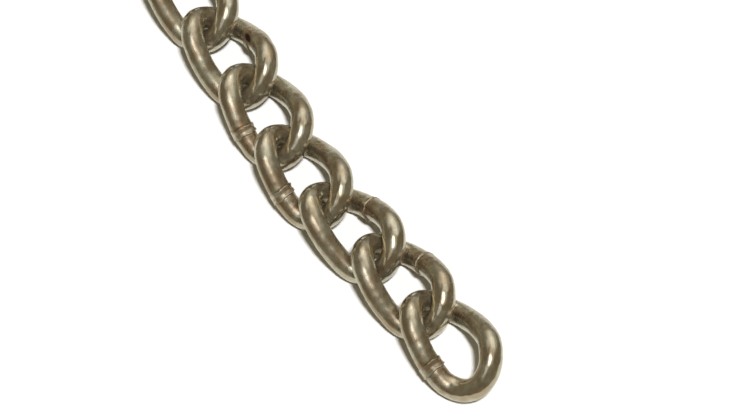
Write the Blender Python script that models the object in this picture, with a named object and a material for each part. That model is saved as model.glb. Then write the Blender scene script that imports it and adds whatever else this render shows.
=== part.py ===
"""One metre of welded curb chain: oval links of round steel bar, twisted so that the chain lies flat.

The chain lies on the plane z = 0 along the X axis, with its free end link at +X.
The origin is under the middle of its bounding box. Lengths are in metres.
"""

import bpy
import math
from mathutils import Matrix, Vector

# Driving dimensions of one link
BAR = 0.010
PITCH = 0.0376
WIDTH = 0.0368
CROWN_REACH = 0.0142
END_TWIST = math.radians(37.5)

# The run of chain, counted from the free end
LINKS = 27
CLEARANCE = 0.0003
# A link swings round in its neighbour's crown, about a point this far inside the crown's tip
SWING_RADIUS = 0.006
# Degrees that the first links point to the left of the chain's own line
HEADINGS = (-0.8, 2.1, 6.6, -1.5, -5.2, -1.1, 0.1)
# How far each of the next links has slid into the one before, from where a taut chain would hold it
SLACKS = (0.0013, 0.0017, 0.0015, 0.0011, 0.0012, 0.0012)
# How far it has slipped to the left as well
SIDESTEPS = (-0.0005, -0.0008, -0.0009, 0.0009, 0.0011, 0.0011)
# The other links lie nearly taut, in line, and sway gently from side to side
SLACK = 0.0004
SWAY = 3.0
SWAY_LINKS = 10

# Facets of the solids
SIDES = 12
CROWN_STEPS = 7
STRAND_STEPS = 3

# Finish: bare steel, burnished by handling and lightly oiled
STEEL_COLOUR = (0.40, 0.36, 0.29, 1.0)
STEEL_ROUGHNESS = 0.32
STEEL_METALLIC = 1.0

# Sizes that follow
HALF_LENGTH = (PITCH + BAR) / 2
HALF_WIDTH = (WIDTH - BAR) / 2
STRAIGHT_HALF = HALF_LENGTH - CROWN_REACH
# The corners of a crown lie outside its curve, so that the straight piece at its tip touches it
CROWN_CORNER_REACH = CROWN_REACH / math.cos(math.pi / 2 / CROWN_STEPS)
# A polygon of this radius has the area of the round bar
FACET_RADIUS = BAR / 2 * math.sqrt(2 * math.pi / SIDES / math.sin(2 * math.pi / SIDES))
# From the middle of a link to the point where it bears on its neighbour
SEAT = HALF_LENGTH - FACET_RADIUS * math.cos(math.pi / SIDES) - CLEARANCE / 2


def clear_scene():
    for thing in list(bpy.data.objects):
        bpy.data.objects.remove(thing, do_unlink=True)


def oval_points():
    """Centreline of a link before it is twisted, as (along, across) pairs once round the oval."""
    points = []
    for end in (1, -1):
        for step in range(STRAND_STEPS):
            along = STRAIGHT_HALF * (2 * step / STRAND_STEPS - 1)
            points.append((end * along, end * HALF_WIDTH))
        for step in range(CROWN_STEPS):
            angle = math.pi / 2 - math.pi * step / CROWN_STEPS
            along = STRAIGHT_HALF + CROWN_CORNER_REACH * math.cos(angle)
            points.append((end * along, end * HALF_WIDTH * math.sin(angle)))
    return points


def twist(along, across):
    """A point of the twisted centreline, and the direction square to the oval there.

    The twist is strongest at the middle of the strands and eases out towards the crowns.
    """
    turn = END_TWIST * math.sin(math.pi / 2 * along / HALF_LENGTH)
    point = Vector((along, across * math.cos(turn), across * math.sin(turn)))
    square = Vector((0.0, -math.sin(turn), math.cos(turn)))
    return point, square


def ring(point, tangent, square):
    """Corners of the bar's section, with a facet towards the eye of the link."""
    side = tangent.cross(square).normalized()
    up = side.cross(tangent).normalized()
    corners = []
    for number in range(SIDES):
        angle = 2 * math.pi * (number + 0.5) / SIDES
        corners.append(point + FACET_RADIUS * (math.cos(angle) * side + math.sin(angle) * up))
    return corners


def link_mesh():
    """One link as a closed tube, with its origin where its +X crown bears on the next link."""
    path = [twist(along, across) for along, across in oval_points()]
    corners = []
    for number, (point, square) in enumerate(path):
        tangent = path[(number + 1) % len(path)][0] - path[number - 1][0]
        if abs(point.x) > HALF_LENGTH - CLEARANCE:
            # At a crown's tip the section keeps square to the oval, so that the facet in its eye is flat
            tangent -= tangent.dot(square) * square
        corners += ring(point - Vector((SEAT, 0, 0)), tangent.normalized(), square)
    faces = []
    for number in range(len(path)):
        start = number * SIDES
        following = (number + 1) % len(path) * SIDES
        for side in range(SIDES):
            beside = (side + 1) % SIDES
            faces.append((start + side, following + side, following + beside, start + beside))
    mesh = bpy.data.meshes.new("curb_link")
    mesh.from_pydata(corners, [], faces)
    mesh.validate()
    mesh.shade_smooth()
    return mesh


def steel():
    material = bpy.data.materials.new("burnished_steel")
    material.use_nodes = True
    shader = material.node_tree.nodes["Principled BSDF"]
    shader.inputs["Base Color"].default_value = STEEL_COLOUR
    shader.inputs["Roughness"].default_value = STEEL_ROUGHNESS
    shader.inputs["Metallic"].default_value = STEEL_METALLIC
    return material


def heading(number):
    """The way that a link points, in radians to the left of +X; number 0 is the free end link."""
    if number < len(HEADINGS):
        return math.radians(HEADINGS[number])
    beyond = number - len(HEADINGS)
    return math.radians(SWAY * math.sin(2 * math.pi * beyond / SWAY_LINKS))


def slip(number):
    """How far the next link has slid into this one, and to its left."""
    if number < len(SLACKS):
        return SLACKS[number], SIDESTEPS[number]
    return SLACK, 0.0


def link_places():
    """The matrix of each link, with the seat of the free end link at the origin."""
    places = []
    seat = Vector((0, 0, 0))
    for number in range(LINKS):
        turned = Matrix.Rotation(heading(number), 4, "Z")
        places.append(Matrix.Translation(seat) @ turned)
        slack, sidestep = slip(number)
        seat = seat - turned @ Vector((2 * SEAT - slack, -sidestep, 0))
    return places


def to_footprint_middle(mesh, places):
    """The shift that brings the lowest corner to z = 0 and the middle of the footprint to the origin."""
    corners = [place @ vertex.co for place in places for vertex in mesh.vertices]
    low = Vector([min(corner[axis] for corner in corners) for axis in range(3)])
    high = Vector([max(corner[axis] for corner in corners) for axis in range(3)])
    return Matrix.Translation((-(low.x + high.x) / 2, -(low.y + high.y) / 2, -low.z))


def hinge_place(number, holder, held):
    """The hinge of a held link, with its axis as +Z, by turns in its holder's crown and in its own."""
    if number % 2:
        crown = holder @ Matrix.Translation((SWING_RADIUS - 2 * SEAT, 0, 0))
        return crown @ Matrix.Rotation(-END_TWIST, 4, "X")
    crown = held @ Matrix.Translation((-SWING_RADIUS, 0, 0))
    return crown @ Matrix.Rotation(END_TWIST, 4, "X")


def put(name, data, place, holder, holder_place):
    """An object at a place in the world, carried by its holder."""
    thing = bpy.data.objects.new(name, data)
    bpy.context.scene.collection.objects.link(thing)
    thing.parent = holder
    thing.matrix_local = holder_place.inverted() @ place
    return thing


def build():
    """The chain, each link hung by its hinge from the one before it."""
    clear_scene()
    mesh = link_mesh()
    mesh.materials.append(steel())
    places = link_places()
    shift = to_footprint_middle(mesh, places)
    places = [shift @ place for place in places]
    link = put("link_01", mesh, places[0], None, Matrix.Identity(4))
    for number in range(1, LINKS):
        hinge = hinge_place(number, places[number - 1], places[number])
        carrier = put(f"hinge_{number + 1:02d}", None, hinge, link, places[number - 1])
        link = put(f"link_{number + 1:02d}", mesh, places[number], carrier, hinge)


build()
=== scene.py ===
"""Looks of one metre of welded curb chain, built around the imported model.

Each link of the model is replaced by a finely meshed one with its weld, flash, burr and forging
marks, in burnished, lightly oiled steel. Lengths are in metres.
"""

import math
from types import SimpleNamespace

import bpy
import numpy as np
from mathutils import Matrix, Vector


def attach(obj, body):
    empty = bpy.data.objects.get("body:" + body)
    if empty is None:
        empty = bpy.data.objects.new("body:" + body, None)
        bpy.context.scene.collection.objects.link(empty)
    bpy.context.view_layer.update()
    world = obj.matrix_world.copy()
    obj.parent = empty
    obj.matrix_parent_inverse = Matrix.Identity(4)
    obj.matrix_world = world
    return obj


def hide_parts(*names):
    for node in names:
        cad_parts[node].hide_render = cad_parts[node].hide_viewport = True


MM = 0.001
FULL_TURN = 2 * math.pi

# The link, as in the model: a round bar bent into an oval that is twisted along its length
BAR_RADIUS = 0.005
HALF_LENGTH = 0.0238
HALF_WIDTH = 0.0134
CROWN_REACH = 0.0142
STRAIGHT_HALF = HALF_LENGTH - CROWN_REACH
END_TWIST = math.radians(37.5)

# The links up to this one are meshed finely, the others less so
NEAR_LINKS = 8
NEAR_RINGS, NEAR_SIDES = 300, 72
FAR_RINGS, FAR_SIDES = 168, 44
# Points of the centreline, between which the rings are placed
CENTRELINE_POINTS = 8000
# Rings lie closer together near the weld, by this factor and over this length
WELD_RING_CROWDING = 6.0
WELD_RING_REACH = 0.0045

# Random numbers: each link has a seed of its own for its surface, and another for its burnt mark
SURFACE_SEED = 4100
BURNT_SEED = 900

# Ripples of the bar: their height, the fewest and the most crests along it, and how many waves are added up
RIPPLES = ((0.036 * MM, 2, 9, 9), (0.016 * MM, 12, 40, 14))
# The most crests of a wave round the bar
RIPPLE_TURNS = 3

# The inside of the bends is fuller by this much, at this distance from the link's middle
SHOULDER_FULLNESS = 0.0003
SHOULDER_REACH = 0.0165
SHOULDER_LENGTH = 0.0035

# The share of a link's half length over which its strands pass into its crowns
CROWN_SHARE = (0.50, 0.80)

# Which strand holds the weld: +1 is the link's left strand and -1 its right one, seen from its tail.
# The weld of a right strand is a band, and that of a left one is a ridge
WELD_STRANDS = {1: -1, 2: 1, 3: 1, 4: -1, 5: -1, 6: 1, 7: 1}
# Where the weld lies along its strand, from the middle towards the free end
WELD_SHIFTS = {1: 0.0057, 2: -0.0035, 3: -0.0033, 4: 0.0033, 5: 0.003, 6: 0.001, 7: 0.0}
OTHER_SHIFTS = (-0.002, 0.003)
# Links whose weld ridge is hardly seen, and how much of it is left
FAINT_RIDGES = (6, 7)
FAINT_SHARE = 0.3

# The bar swells by this much where the weld was pressed together, over this length
SWELL = 0.12 * MM
SWELL_LENGTH = 5 * MM

# A weld runs round the bar at a lean and with ragged edges: the heights of its waves, and their number
WELD_LEAN = 0.45 * MM
BAND_RAGGED, RIDGE_RAGGED, RAGGED_WAVES = 0.17 * MM, 0.10 * MM, 5
FINE_RAGGED, FINE_RAGGED_WAVES = 0.07 * MM, 11

# Half the length of a weld's band, and of the burr on the inside of a weld that is only a ridge
BAND_HALF = 0.0020
BURR_HALF = 0.0022
# These lengths vary by a factor between these two
HALF_SPREAD = (0.92, 1.08)
# The edge of a band or burr rises between these distances from its nominal end
EDGE_OUT, EDGE_IN = 0.22 * MM, 0.08 * MM
# A burr lies aside of its ridge by this much, and points into the eye but for a turn between these degrees
BURR_SHIFT = 1.2 * MM
INNER_TURN = (-25, 5)

# Teeth of the flash: how many round the bar, their length, and the most that they start out of step
TEETH = 7
TOOTH_LENGTH = 0.4 * MM
TOOTH_PHASE = 6

# Heights of a band: on the outside, more on the inside, of its teeth, its step and its grooves
BAND_HEIGHT, BAND_INNER_HEIGHT, BAND_TEETH = 0.26 * MM, 0.36 * MM, 0.12 * MM
STEP_HEIGHT, GROOVE_DEPTH = 0.20 * MM, 0.13 * MM
# How narrowly the added height and the teeth gather towards the inside
BAND_GATHERING, BAND_TEETH_GATHERING = 3, 5
# A band is pinched in its middle, by this share of its height and over this share of its half length
PINCH, PINCH_LENGTH = 0.45, 0.5
# Widths along the bar of the step at one end of a band, of the rubbed line at its other end and of the
# grooves, which lie this far beyond its ends
STEP_LENGTH, FAR_LINE_LENGTH = 0.17 * MM, 0.15 * MM
GROOVE_PLACE, GROOVE_LENGTH = 0.30 * MM, 0.22 * MM
# The rubbed lines of a band break this often round the bar. Their middle brightness and its swing, and
# the shares of it that the far line and the face between the lines have
BREAKS, LINE_SHINE, LINE_SWING = 6, 0.6, 0.4
FAR_LINE_SHINE, FACE_SHINE = 0.6, 0.3

# Heights of a ridge: on the outside, more on the inside, of the seam beside it, the burr and its teeth
RIDGE_HEIGHT, RIDGE_INNER_HEIGHT, SEAM_DEPTH = 0.24 * MM, 0.10 * MM, 0.08 * MM
BURR_HEIGHT, BURR_TEETH = 0.50 * MM, 0.18 * MM
# Widths along the bar of the ridge and of the seam, which lies this far beside it, and how many times as
# ragged as the weld's edge the ridge is
RIDGE_LENGTH, SEAM_PLACE, SEAM_LENGTH = 0.20 * MM, 0.6 * MM, 0.25 * MM
RIDGE_RAGGEDNESS = 2
# How narrowly the burr and its rubbed tip gather towards the inside, and the brightness of ridge and burr
BURR_GATHERING, BURR_SHINE_GATHERING = 8, 12
RIDGE_SHINE, BURR_SHINE = 0.6, 0.5

# The weld is ground off on the link's outside: the middle of that place around the bar, its edge as a
# cosine, its chatter marks, its edge along the bar in half lengths of the weld, how many times as ragged
# as the weld's that edge is, and its brightness
GROUND_ANGLE = math.radians(165)
GROUND_EDGE = (0.60, 0.85)
CHATTER, CHATTER_LENGTH = 0.08, 0.35 * MM
GROUND_REACH = (1.15, 0.75)
GROUND_RAGGEDNESS = 3
GROUND_SHINE = 0.7

# The burnt mark of one link, and the fainter ones of the others
BURNT_LINK = 6
BURNT_PLACE = 0.0005
BURNT_ANGLE = math.radians(50)
FAINT_BURNS = (0.0, 0.35)
FAINT_BURN_PLACES = (-0.003, 0.004)
BURNT_LENGTH, BURNT_WIDTH = 4.6 * MM, 1.7 * MM

# Each link lies this much farther along in the steel's noises, so that no two look the same
NOISE_STEP = 0.2


def link_number(name):
    return int(name.split("_")[1])


def smooth(low, high, value):
    """Smooth step from 0 at low to 1 at high."""
    share = np.clip((value - low) / (high - low), 0, 1)
    return share * share * (3 - 2 * share)


def bell(value, width):
    return np.exp(-((value / width) ** 2))


def wave(rng, around, count):
    """A wave with this many crests round the bar, at a random turn."""
    return np.sin(count * around + rng.uniform(0, FULL_TURN))


def ripple(rng, along, around, length, low, high, count):
    """A sum of waves that closes both along a bar of this length and around it, of size about 1."""
    total = np.zeros(np.broadcast(along, around).shape)
    for _ in range(count):
        waves = rng.integers(low, high + 1)
        turns = rng.integers(-RIPPLE_TURNS, RIPPLE_TURNS + 1)
        phase = rng.uniform(0, FULL_TURN)
        total += np.sin(FULL_TURN * waves * along / length + turns * around + phase)
    return total / math.sqrt(count / 2)


def oval_centreline(count):
    """Points and square directions of the twisted centreline, once round the oval."""
    share = np.arange(count) / count * 4
    leg = share.astype(int)
    part = share - leg
    end = np.where(leg < 2, 1, -1)
    on_strand = leg % 2 == 0
    angle = math.pi / 2 - math.pi * part
    along = np.where(on_strand, STRAIGHT_HALF * (2 * part - 1), STRAIGHT_HALF + CROWN_REACH * np.cos(angle))
    across = np.where(on_strand, HALF_WIDTH, HALF_WIDTH * np.sin(angle))
    along, across = end * along, end * across
    turn = END_TWIST * np.sin(math.pi / 2 * along / HALF_LENGTH)
    points = np.stack([along, across * np.cos(turn), across * np.sin(turn)], axis=1)
    square = np.stack([0 * turn, -np.sin(turn), np.cos(turn)], axis=1)
    return points, square


def ring_distances(travelled, rings):
    """Distances of the rings along the bar, crowded on both sides of the weld at its start and end."""
    near = np.minimum(travelled, travelled[-1] - travelled)
    crowding = 1 + WELD_RING_CROWDING * np.exp(-((near / WELD_RING_REACH) ** 4))
    spent = np.concatenate([[0], np.cumsum((crowding[1:] + crowding[:-1]) / 2 * np.diff(travelled))])
    return np.interp(np.arange(rings) / rings * spent[-1], spent, travelled)


def bar_frames(weld_strand, weld_shift, rings):
    """Ring middles and directions along the bar, starting at the weld.

    Returns the distance of each ring, the bar's length, and each ring's middle, inward and up direction.
    """
    points, square = oval_centreline(CENTRELINE_POINTS)
    weld = np.array([weld_shift, weld_strand * HALF_WIDTH, 0])
    start = int(np.argmin(np.linalg.norm(points - weld, axis=1)))
    points, square = np.roll(points, -start, axis=0), np.roll(square, -start, axis=0)
    closed = np.vstack([points, points[:1]])
    travelled = np.concatenate([[0], np.cumsum(np.linalg.norm(np.diff(closed, axis=0), axis=1))])
    distance = ring_distances(travelled, rings)
    tangent = np.roll(points, -1, axis=0) - np.roll(points, 1, axis=0)
    tangent /= np.linalg.norm(tangent, axis=1, keepdims=True)
    inward = np.cross(tangent, square)
    inward /= np.linalg.norm(inward, axis=1, keepdims=True)
    up = np.cross(inward, tangent)

    def at(values):
        looped = np.vstack([values, values[:1]])
        return np.stack([np.interp(distance, travelled, looped[:, axis]) for axis in range(3)], axis=1)

    return distance, travelled[-1], at(points), at(inward), at(up)


def weld_shape(rng, offset, around, banded):
    """Where each corner lies on the weld: its place along it, its ragged edge and its parts."""
    lean = WELD_LEAN * wave(rng, around, 1)
    ragged = (BAND_RAGGED if banded else RIDGE_RAGGED) * wave(rng, around, RAGGED_WAVES)
    ragged = ragged + FINE_RAGGED * wave(rng, around, FINE_RAGGED_WAVES)
    place = offset - lean
    inner = 0.5 + 0.5 * np.cos(around - math.radians(rng.uniform(*INNER_TURN)))
    half = (BAND_HALF if banded else BURR_HALF) * rng.uniform(*HALF_SPREAD)
    shift = 0 if banded else BURR_SHIFT
    inside = smooth(half + EDGE_OUT, half - EDGE_IN, np.abs(place + ragged + shift))
    teeth = wave(rng, around, TEETH) * np.sin(place / TOOTH_LENGTH + rng.uniform(0, TOOTH_PHASE))
    return SimpleNamespace(
        around=around, place=place, ragged=ragged, half=half, inner=inner, inside=inside, teeth=teeth
    )


def ground_patch(weld):
    """Where the weld was ground off on the link's outside."""
    chatter = CHATTER * np.sin(weld.place / CHATTER_LENGTH)
    outside = smooth(*GROUND_EDGE, np.cos(weld.around - GROUND_ANGLE) + chatter)
    reach = np.abs(weld.place + GROUND_RAGGEDNESS * weld.ragged) / weld.half
    return GROUND_SHINE * outside * smooth(*GROUND_REACH, reach)


def band_relief(rng, weld):
    """A band that is pinched in its middle, with a step at one end, grooves and rubbed broken lines."""
    hollow = 1 - PINCH * bell(weld.place, PINCH_LENGTH * weld.half)
    step = bell(weld.place + weld.half + weld.ragged, STEP_LENGTH)
    far_line = bell(weld.place - weld.half + weld.ragged, FAR_LINE_LENGTH)
    groove = bell(np.abs(weld.place + weld.ragged) - weld.half - GROOVE_PLACE, GROOVE_LENGTH)
    height = BAND_HEIGHT + BAND_INNER_HEIGHT * weld.inner ** BAND_GATHERING
    relief = weld.inside * height * hollow + STEP_HEIGHT * step - GROOVE_DEPTH * groove
    relief += weld.inside * weld.inner ** BAND_TEETH_GATHERING * BAND_TEETH * weld.teeth
    broken = LINE_SHINE + LINE_SWING * wave(rng, weld.around, BREAKS)
    lines = broken * (step + FAR_LINE_SHINE * far_line)
    return relief, lines + FACE_SHINE * broken ** 2 * weld.inside, groove


def ridge_relief(weld, share):
    """A single ridge, of which this share is left, with a seam beside it and a burr on its inside."""
    ridge = share * bell(weld.place + RIDGE_RAGGEDNESS * weld.ragged, RIDGE_LENGTH)
    seam = share * bell(weld.place - SEAM_PLACE + weld.ragged, SEAM_LENGTH)
    relief = ridge * (RIDGE_HEIGHT + RIDGE_INNER_HEIGHT * weld.inner) - SEAM_DEPTH * seam
    relief += weld.inside * weld.inner ** BURR_GATHERING * (BURR_HEIGHT + BURR_TEETH * weld.teeth)
    rubbed = RIDGE_SHINE * ridge + BURR_SHINE * weld.inside * weld.inner ** BURR_SHINE_GATHERING
    return relief, rubbed, seam


def weld_relief(rng, offset, around, banded, faint):
    """Height of the weld above the bar, where it is rubbed bright and where it has dark seams.

    It is a band or a single ridge, by signed distances from the weld along the bar.
    """
    weld = weld_shape(rng, offset, around, banded)
    if banded:
        relief, rubbed, seam = band_relief(rng, weld)
    else:
        relief, rubbed, seam = ridge_relief(weld, FAINT_SHARE if faint else 1.0)
    return relief, np.clip(np.maximum(rubbed, ground_patch(weld)), 0, 1), np.clip(seam, 0, 1)


def burnt_mark(number, offset, around):
    """A dark burnt mark beside the weld of one link, and fainter ones elsewhere."""
    rng = np.random.default_rng(BURNT_SEED + number)
    strength = 1.0 if number == BURNT_LINK else rng.uniform(*FAINT_BURNS)
    place = rng.uniform(*FAINT_BURN_PLACES)
    angle = rng.uniform(0, FULL_TURN)
    if number == BURNT_LINK:
        place, angle = BURNT_PLACE, BURNT_ANGLE
    apart = np.angle(np.exp(1j * (around - angle))) * BAR_RADIUS
    return strength * bell(offset - place, BURNT_LENGTH) * bell(apart, BURNT_WIDTH)


def link_surface(number, rings, sides):
    """Corners of a link round its own middle, ring by ring, and what its steel reads at each.

    That is where the corner would lie on a straight bar, and the strength of each of its marks.
    """
    rng = np.random.default_rng(SURFACE_SEED + number)
    strand = WELD_STRANDS.get(number, int(rng.choice([-1, 1])))
    shift = WELD_SHIFTS.get(number, rng.uniform(*OTHER_SHIFTS))
    distance, length, points, inward, up = bar_frames(strand, shift, rings)
    along, around = np.meshgrid(distance, FULL_TURN * np.arange(sides) / sides, indexing="ij")
    offset = np.where(along > length / 2, along - length, along)
    relief, rubbed, seam = weld_relief(rng, offset, around, strand < 0, number in FAINT_RIDGES)
    radius = BAR_RADIUS + relief
    for height, fewest, most, count in RIPPLES:
        radius = radius + height * ripple(rng, along, around, length, fewest, most, count)
    reach = np.broadcast_to(np.abs(points[:, 0])[:, None], around.shape)
    shoulder = bell(reach - SHOULDER_REACH, SHOULDER_LENGTH)
    radius = radius + SHOULDER_FULLNESS * shoulder * np.clip(np.cos(around), 0, 1) ** 2
    radius = radius + SWELL * bell(offset, SWELL_LENGTH)
    side = inward[:, None, :] * np.cos(around)[..., None]
    rise = up[:, None, :] * np.sin(around)[..., None]
    marks = {
        "weld": np.abs(offset),
        "crown": smooth(*CROWN_SHARE, reach / HALF_LENGTH),
        "inner": 0.5 + 0.5 * np.cos(around),
        "rubbed": rubbed,
        "seam": seam,
        "burnt": burnt_mark(number, offset, around),
    }
    straight = [BAR_RADIUS * np.cos(around), BAR_RADIUS * np.sin(around), along + NOISE_STEP * number]
    return points[:, None, :] + radius[..., None] * (side + rise), np.stack(straight, axis=-1), marks


def link_mesh(name, number):
    """A closed tube mesh of a link with the attributes that its steel reads."""
    near = number <= NEAR_LINKS
    rings, sides = (NEAR_RINGS, NEAR_SIDES) if near else (FAR_RINGS, FAR_SIDES)
    surface, straight, marks = link_surface(number, rings, sides)
    ring, side = np.meshgrid(np.arange(rings), np.arange(sides), indexing="ij")
    ahead, beside = (ring + 1) % rings, (side + 1) % sides
    here, there = ring * sides, ahead * sides
    faces = np.stack([here + side, there + side, there + beside, here + beside]).reshape(4, -1).T
    mesh = bpy.data.meshes.new(name)
    mesh.from_pydata(surface.reshape(-1, 3).tolist(), [], faces.tolist())
    mesh.polygons.foreach_set("use_smooth", np.ones(len(faces), bool))
    put_vectors(mesh, "bar", straight)
    for mark, values in marks.items():
        put_values(mesh, mark, values)
    mesh.update()
    return mesh


def put_vectors(mesh, name, values):
    attribute = mesh.attributes.new(name, "FLOAT_VECTOR", "POINT")
    attribute.data.foreach_set("vector", values.astype(np.float32).ravel())


def put_values(mesh, name, values):
    attribute = mesh.attributes.new(name, "FLOAT", "POINT")
    attribute.data.foreach_set("value", values.astype(np.float32).ravel())


def link_place(node):
    """The matrix of a link's middle, its long way along +X, from the model's own corners."""
    corners = np.array([vertex.co for vertex in node.data.vertices])
    middle = corners.mean(axis=0)
    flat = (corners - middle)[:, :2]
    values, ways = np.linalg.eigh(flat.T @ flat)
    way = ways[:, int(np.argmax(values))]
    way = way * math.copysign(1, way[0])
    heading = math.atan2(way[1], way[0])
    return Matrix.Translation(middle.tolist()) @ Matrix.Rotation(heading, 4, "Z")


class Nodes:
    """Short hand for building a material's nodes."""

    def __init__(self, tree):
        self.tree = tree

    def add(self, kind, **settings):
        node = self.tree.nodes.new(kind)
        for name, value in settings.items():
            setattr(node, name, value)
        return node

    def link(self, source, target):
        self.tree.links.new(source, target)

    def feed(self, socket, value):
        if isinstance(value, bpy.types.NodeSocket):
            self.link(value, socket)
        else:
            socket.default_value = value

    def attribute(self, name, output="Fac"):
        return self.add("ShaderNodeAttribute", attribute_name=name).outputs[output]

    def math(self, operation, *values):
        node = self.add("ShaderNodeMath", operation=operation)
        for socket, value in zip(node.inputs, values):
            self.feed(socket, value)
        return node.outputs[0]

    def times(self, first, second):
        return self.math("MULTIPLY", first, second)

    def scaled(self, vector, scale):
        node = self.add("ShaderNodeVectorMath", operation="MULTIPLY")
        self.feed(node.inputs[0], vector)
        node.inputs[1].default_value = scale
        return node.outputs[0]

    def noise(self, vector, scale, detail, roughness):
        node = self.add("ShaderNodeTexNoise")
        self.feed(node.inputs["Vector"], vector)
        node.inputs["Scale"].default_value = scale
        node.inputs["Detail"].default_value = detail
        node.inputs["Roughness"].default_value = roughness
        return node.outputs["Fac"]

    def spread(self, value, low, high, to_low=0.0, to_high=1.0):
        """The value eased from to_low at low to to_high at high."""
        node = self.add("ShaderNodeMapRange", interpolation_type="SMOOTHSTEP")
        for socket, number in zip(node.inputs, (value, low, high, to_low, to_high)):
            self.feed(socket, number)
        return node.outputs[0]

    def mix(self, factor, first, second):
        node = self.add("ShaderNodeMix", data_type="RGBA")
        self.feed(node.inputs["Factor"], factor)
        self.feed(node.inputs["A"], first)
        self.feed(node.inputs["B"], second)
        return node.outputs["Result"]


def new_material(name):
    """A material with its nodes and its shader."""
    material = bpy.data.materials.new(name)
    material.use_nodes = True
    return material, Nodes(material.node_tree), material.node_tree.nodes["Principled BSDF"]


def colour(red, green, blue):
    return (red, green, blue, 1.0)


# Tones of the steel
CROWN_GREY = colour(0.55, 0.51, 0.41)
CROWN_BROWN = colour(0.44, 0.36, 0.25)
STRAND_GREY = colour(0.47, 0.43, 0.325)
STRAND_BROWN = colour(0.37, 0.29, 0.195)
BRIGHT = colour(0.74, 0.69, 0.57)
DULL = colour(0.31, 0.245, 0.155)
GOLDEN = colour(0.64, 0.56, 0.40)
# Painted shade: the inside of each bend, where the next link lies, is painted this darker brown
PAINTED_SHADE_IN_BENDS = colour(0.46, 0.39, 0.26)
DARK = colour(0.13, 0.095, 0.055)
HEAT_BROWN = colour(0.31, 0.20, 0.115)
HEAT_ORANGE = colour(0.46, 0.25, 0.11)
BURNT = colour(0.02, 0.016, 0.012)

# Noises in the steel: how fine, how detailed and how rough
PATCH_NOISE = (150, 3, 0.55)
MOTTLE_NOISE = (520, 5, 0.62)
SPECK_NOISE = (1500, 3, 0.65)
STREAK_NOISE = (800, 4, 0.6)
HAIR_NOISE = (2300, 2, 0.5)
BROWN_NOISE = (330, 3, 0.55)
TINT_NOISE = (380, 4, 0.55)
SCRATCH_NOISE = (1000, 3, 0.55)
GLOSS_NOISE = (420, 5, 0.6)
DENT_NOISE = (330, 2, 0.55)
LINE_NOISE = (1500, 3, 0.55)
# Streaks and lines are drawn out along the bar, and the brown clouds less so
DRAWN_OUT = (1.0, 1.0, 0.10)
CLOUD_STRETCH = (1.0, 1.0, 0.30)

# From which value of its noise a mark starts and at which it is full, and how strong it is at both
STRAND_PATCHES = (0.40, 0.60)
CROWN_PATCHES = (0.40, 0.56)
MOTTLED = (0.40, 0.66, 0.0, 0.42)
STREAKED = (0.56, 0.76, 0.0, 0.55)
HAIRED = (0.60, 0.74, 0.0, 0.55)
BROWNED = (0.46, 0.66, 0.0, 0.45)
SPECKED = (0.62, 0.80, 0.0, 0.25)
TINTED = (0.42, 0.60)
SCRATCHED = (0.38, 0.60, 0.25, 0.85)

# The same for what goes by its place: how far it is turned to the link's inside, how far it lies from the
# weld, and how deep in the burnt mark. The painted shade inside the bends and the seams have a strength of
# their own
OUTER_UNEVENNESS = (0.55, 0.90, 1.0, 0.35)
GOLDEN_RUB = (0.45, 0.80, 0.0, 0.60)
HOLLOW_PLACE = (0.78, 0.97)
TINT_REACH = (0.0120, 0.0025, 0.0, 0.70)
BURNT_ORANGE = (0.05, 0.55, 0.0, 0.6)
BURNT_BLACK = (0.30, 0.80, 0.0, 0.95)
BEND_SHADE_STRENGTH = 0.8
SEAM_STRENGTH = 0.65

# What strands and crowns have of the fine marks, of the uneven gloss and of the dents
FINE_MARKS = (0.50, 1.0)
UNEVEN_GLOSS = (0.45, 1.0)
DENTED = (0.45, 0.9)

# Roughness of strands and crowns, and what its noise, hollows, rubbed places and burnt ones add to it
ROUGHNESS = (0.26, 0.09)
GLOSS_SPREAD = (0.32, 0.70, 0.0, 0.18)
HOLLOW_ROUGHNESS = 0.20
RUBBED_ROUGHNESS = 0.15
BURNT_ROUGHNESS = (0.1, 0.8, 0.0, 0.35)
METALLIC = 0.9
COAT_WEIGHT, COAT_ROUGHNESS, COAT_IOR = 0.35, 0.12, 1.45

# Shares of the fine marks in the bump, and its strength and height
MOTTLE_HEIGHT, LINE_HEIGHT, SPECK_HEIGHT = 0.45, 0.30, 0.10
BUMP_STRENGTH = 0.38
BUMP_HEIGHT = 0.12 * MM


def steel_marks(nodes):
    """What the steel reads from the mesh, and what several of its looks share."""
    marks = SimpleNamespace(bar=nodes.attribute("bar", "Vector"))
    for name in ("weld", "burnt", "crown", "inner", "rubbed", "seam"):
        setattr(marks, name, nodes.attribute(name))
    marks.drawn = nodes.scaled(marks.bar, DRAWN_OUT)
    marks.mottle = nodes.noise(marks.bar, *MOTTLE_NOISE)
    marks.specks = nodes.noise(marks.bar, *SPECK_NOISE)
    outer = nodes.spread(marks.inner, *OUTER_UNEVENNESS)
    marks.uneven = nodes.times(outer, nodes.spread(marks.crown, 0.0, 1.0, *FINE_MARKS))
    # The inside of the bends, which gets painted shade and more roughness
    marks.hollow = nodes.times(marks.crown, nodes.spread(marks.inner, *HOLLOW_PLACE))
    return marks


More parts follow.
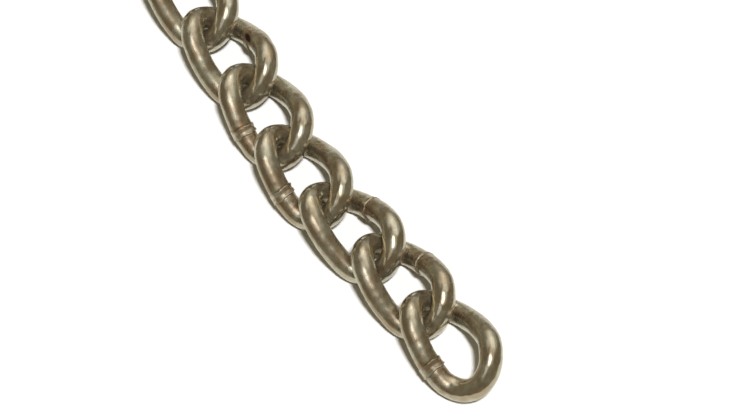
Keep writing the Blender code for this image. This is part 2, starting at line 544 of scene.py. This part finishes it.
def steel_colour(nodes, marks):
    """Grey and brown patches under dull streaks, bright hairs, dark specks, heat tints and rubbed places,
    with painted shade on the inside of the bends.
    """
    patches = nodes.noise(marks.bar, *PATCH_NOISE)
    strand = nodes.mix(nodes.spread(patches, *STRAND_PATCHES), STRAND_BROWN, STRAND_GREY)
    crown = nodes.mix(nodes.spread(patches, *CROWN_PATCHES), CROWN_BROWN, CROWN_GREY)
    base = nodes.mix(marks.crown, strand, crown)
    streaks = nodes.noise(marks.drawn, *STREAK_NOISE)
    hairs = nodes.noise(marks.drawn, *HAIR_NOISE)
    clouds = nodes.noise(nodes.scaled(marks.bar, CLOUD_STRETCH), *BROWN_NOISE)
    tints = nodes.noise(marks.bar, *TINT_NOISE)
    scratches = nodes.noise(marks.bar, *SCRATCH_NOISE)
    layers = (
        (marks.uneven, nodes.spread(marks.mottle, *MOTTLED), DULL),
        (marks.uneven, nodes.spread(streaks, *STREAKED), DULL),
        (marks.uneven, nodes.spread(hairs, *HAIRED), BRIGHT),
        (marks.crown, nodes.spread(clouds, *BROWNED), DULL),
        (marks.crown, nodes.spread(marks.inner, *GOLDEN_RUB), GOLDEN),
        # Painted shade on the inside of the bends
        (marks.hollow, BEND_SHADE_STRENGTH, PAINTED_SHADE_IN_BENDS),
        (marks.uneven, nodes.spread(marks.specks, *SPECKED), DARK),
        (nodes.spread(marks.weld, *TINT_REACH), nodes.spread(tints, *TINTED), HEAT_BROWN),
        (marks.rubbed, nodes.spread(scratches, *SCRATCHED), BRIGHT),
        (marks.seam, SEAM_STRENGTH, DARK),
    )
    for where, strength, tone in layers:
        base = nodes.mix(nodes.times(where, strength), base, tone)
    base = nodes.mix(nodes.spread(marks.burnt, *BURNT_ORANGE), base, HEAT_ORANGE)
    return nodes.mix(nodes.spread(marks.burnt, *BURNT_BLACK), base, BURNT)


def steel_roughness(nodes, marks):
    """Smooth crowns and rougher strands, unevenly so, and rough in the hollows, rubbed and burnt places."""
    rough = nodes.spread(nodes.noise(marks.bar, *GLOSS_NOISE), *GLOSS_SPREAD)
    rough = nodes.times(rough, nodes.spread(marks.crown, 0.0, 1.0, *UNEVEN_GLOSS))
    rough = nodes.math("ADD", rough, nodes.spread(marks.crown, 0.0, 1.0, *ROUGHNESS))
    rough = nodes.math("MULTIPLY_ADD", marks.hollow, HOLLOW_ROUGHNESS, rough)
    rough = nodes.math("MULTIPLY_ADD", marks.rubbed, RUBBED_ROUGHNESS, rough)
    return nodes.math("ADD", rough, nodes.spread(marks.burnt, *BURNT_ROUGHNESS))


def steel_normal(nodes, marks):
    """The bump of dents, mottle, drawn lines and specks."""
    dents = nodes.times(nodes.noise(marks.bar, *DENT_NOISE), nodes.spread(marks.crown, 0.0, 1.0, *DENTED))
    fine = nodes.times(marks.mottle, MOTTLE_HEIGHT)
    fine = nodes.math("MULTIPLY_ADD", nodes.noise(marks.drawn, *LINE_NOISE), LINE_HEIGHT, fine)
    fine = nodes.math("MULTIPLY_ADD", marks.specks, SPECK_HEIGHT, fine)
    bump = nodes.add("ShaderNodeBump")
    bump.inputs["Strength"].default_value = BUMP_STRENGTH
    bump.inputs["Distance"].default_value = BUMP_HEIGHT
    nodes.link(nodes.math("MULTIPLY_ADD", fine, marks.uneven, dents), bump.inputs["Height"])
    return bump.outputs["Normal"]


def steel():
    """Burnished steel under a film of oil: bright and smooth on the crowns, browner along the strands."""
    material, nodes, shader = new_material("burnished_steel")
    marks = steel_marks(nodes)
    nodes.link(steel_colour(nodes, marks), shader.inputs["Base Color"])
    nodes.link(steel_roughness(nodes, marks), shader.inputs["Roughness"])
    nodes.link(steel_normal(nodes, marks), shader.inputs["Normal"])
    shader.inputs["Metallic"].default_value = METALLIC
    shader.inputs["Coat Weight"].default_value = COAT_WEIGHT
    shader.inputs["Coat Roughness"].default_value = COAT_ROUGHNESS
    shader.inputs["Coat IOR"].default_value = COAT_IOR
    return material


def dress_links(frame, finish):
    """A finely meshed link in place of each link of the model."""
    for name in sorted(frame["nodes"]):
        mesh = link_mesh(f"{name}_bar", link_number(name))
        mesh.materials.append(finish)
        link = bpy.data.objects.new(f"{name}_bar", mesh)
        bpy.context.scene.collection.objects.link(link)
        link.matrix_world = link_place(frame["nodes"][name])
        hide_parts(name)
        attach(link, name)


# The table as the camera sees it, and with painted light as the steel mirrors it: a painted bright pool near
# the chain, a painted dark band and dim beyond
TABLE_COLOUR = colour(0.86, 0.86, 0.875)
MIRRORED_NEAR = colour(0.76, 0.78, 0.75)
MIRRORED_PAINTED_DARK_BAND = colour(0.05, 0.046, 0.035)
MIRRORED_FAR = colour(0.17, 0.16, 0.13)
# Distances from the chain's line at which they pass into each other, and how far that line reaches
DARK_BAND_FADE = (0.060, 0.085)
FAR_FADE = (0.11, 0.20)
CHAIN_REACH = 0.49
TABLE_ROUGHNESS = 0.8
TABLE_REACH = 6.0


def painted_table_reflection(nodes):
    """The table's colour in the steel, painted by the distance from the chain's line: a bright pool near it,
    a dark band and dim beyond.
    """
    place = nodes.add("ShaderNodeNewGeometry").outputs["Position"]
    apart = nodes.add("ShaderNodeSeparateXYZ")
    nodes.link(place, apart.inputs[0])
    aside = nodes.math("ABSOLUTE", apart.outputs["Y"])
    past_end = nodes.math("SUBTRACT", nodes.math("ABSOLUTE", apart.outputs["X"]), CHAIN_REACH)
    distance = nodes.math("MAXIMUM", aside, past_end)
    mirrored = nodes.mix(nodes.spread(distance, *DARK_BAND_FADE), MIRRORED_NEAR, MIRRORED_PAINTED_DARK_BAND)
    return nodes.mix(nodes.spread(distance, *FAR_FADE), mirrored, MIRRORED_FAR)


def floor():
    """A white table top, which the steel mirrors with painted light: white close by, a dark band, and dim
    farther off.
    """
    material, nodes, shader = new_material("white_table")
    shader.inputs["Roughness"].default_value = TABLE_ROUGHNESS
    shader.inputs["Specular IOR Level"].default_value = 0.0
    seen_in_steel = nodes.add("ShaderNodeLightPath").outputs["Is Glossy Ray"]
    # Painted reflection: glossy rays see the painted pool of light and dark band in place of the white table
    nodes.link(nodes.mix(seen_in_steel, TABLE_COLOUR, painted_table_reflection(nodes)), shader.inputs["Base Color"])
    mesh = bpy.data.meshes.new("table_top")
    corners = [(x * TABLE_REACH, y * TABLE_REACH, 0) for x, y in ((-1, -1), (1, -1), (1, 1), (-1, 1))]
    mesh.from_pydata(corners, [], [(0, 1, 2, 3)])
    mesh.materials.append(material)
    top = bpy.data.objects.new("table_top", mesh)
    bpy.context.scene.collection.objects.link(top)


# The surroundings as the steel mirrors them, and as the camera sees them
ROOM_COLOUR = colour(0.168, 0.149, 0.090)
BACKDROP = colour(1.0, 1.0, 1.0)

# The lamp of the table: its azimuth, tilt from the zenith and radius in degrees, its power and its tint
TABLE_LAMP = (-5, 22, 3.5, 3.7, (1.0, 0.99, 0.97))
# The lamps that the steel mirrors: azimuth, tilt from the zenith and radius in degrees, radiance and tint
SOFT_LAMPS = {
    "key_lamp": (310, 13, 14, 2.9, (0.97, 1.0, 1.06)),
    "key_side": (284, 34, 15, 0.60, (0.98, 1.0, 1.03)),
    "key_glow": (20, 8, 26, 0.46, (1.0, 1.0, 0.98)),
    "window": (139, 42, 13, 0.45, (1.0, 0.96, 0.88)),
    "window_left": (190, 40, 12, 0.60, (0.97, 1.0, 1.04)),
    "window_right": (85, 36, 12, 0.60, (0.97, 1.0, 1.04)),
    "window_top": (138, 55, 5, 1.1, (0.97, 1.0, 1.04)),
    "window_frame": (136, 44, 25, 0.66, (1.0, 0.99, 0.94)),
    "window_glow": (128, 48, 38, 0.28, (1.0, 0.99, 0.92)),
}


def room():
    """Dim olive surroundings, and a white backdrop for the camera."""
    world = bpy.data.worlds.new("room")
    bpy.context.scene.world = world
    world.use_nodes = True
    nodes = Nodes(world.node_tree)
    background = world.node_tree.nodes["Background"]
    seen = nodes.add("ShaderNodeLightPath").outputs["Is Camera Ray"]
    nodes.link(nodes.mix(seen, ROOM_COLOUR, BACKDROP), background.inputs["Color"])


def lamp(name, azimuth, tilt, radius, power, tint):
    """A far round lamp, by its azimuth, tilt from the zenith and radius in degrees."""
    data = bpy.data.lights.new(name, "SUN")
    data.angle = math.radians(2 * radius)
    data.energy = power
    data.color = tint
    thing = bpy.data.objects.new(name, data)
    bpy.context.scene.collection.objects.link(thing)
    azimuth, tilt = math.radians(azimuth), math.radians(tilt)
    towards = (math.sin(tilt) * math.cos(azimuth), math.sin(tilt) * math.sin(azimuth), math.cos(tilt))
    thing.rotation_euler = Vector(towards).to_track_quat("Z", "Y").to_euler()
    return thing


def lamps():
    """A hard lamp for the table and its shadows, and soft ones that only the steel mirrors."""
    lamp("table_lamp", *TABLE_LAMP).visible_glossy = False
    for name, (azimuth, tilt, radius, radiance, tint) in SOFT_LAMPS.items():
        power = radiance * math.pi * math.radians(radius) ** 2
        lamp(name, azimuth, tilt, radius, power, tint).visible_diffuse = False


# Camera of the photograph: a long lens above and beside the free end
CAMERA_TARGET = (0.3955, 0.0160, 0.0)
CAMERA_PLACE = (1.2097, -0.3779, 1.5042)
CAMERA_ROLL = math.radians(-7.98)
CAMERA_LENS = 191.6
SENSOR_WIDTH = 36.0
CAMERA_RANGE = (0.05, 50.0)


def camera():
    """The photograph's camera."""
    data = bpy.data.cameras.new("camera")
    data.lens = CAMERA_LENS
    data.sensor_width = SENSOR_WIDTH
    data.clip_start, data.clip_end = CAMERA_RANGE
    thing = bpy.data.objects.new("camera", data)
    bpy.context.scene.collection.objects.link(thing)
    place, target = Vector(CAMERA_PLACE), Vector(CAMERA_TARGET)
    level = (target - place).to_track_quat("-Z", "Y").to_matrix().to_4x4()
    thing.matrix_world = Matrix.Translation(place) @ level @ Matrix.Rotation(CAMERA_ROLL, 4, "Z")
    bpy.context.scene.camera = thing


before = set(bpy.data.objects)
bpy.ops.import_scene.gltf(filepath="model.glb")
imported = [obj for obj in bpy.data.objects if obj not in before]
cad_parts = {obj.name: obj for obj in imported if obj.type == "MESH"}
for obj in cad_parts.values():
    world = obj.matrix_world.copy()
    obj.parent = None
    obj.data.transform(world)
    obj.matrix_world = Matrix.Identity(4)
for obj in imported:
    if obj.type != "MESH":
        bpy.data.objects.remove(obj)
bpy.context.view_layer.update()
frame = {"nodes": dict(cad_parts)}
bpy.context.scene.view_settings.view_transform = "Standard"
dress_links(frame, steel())
floor()
room()
lamps()
camera()
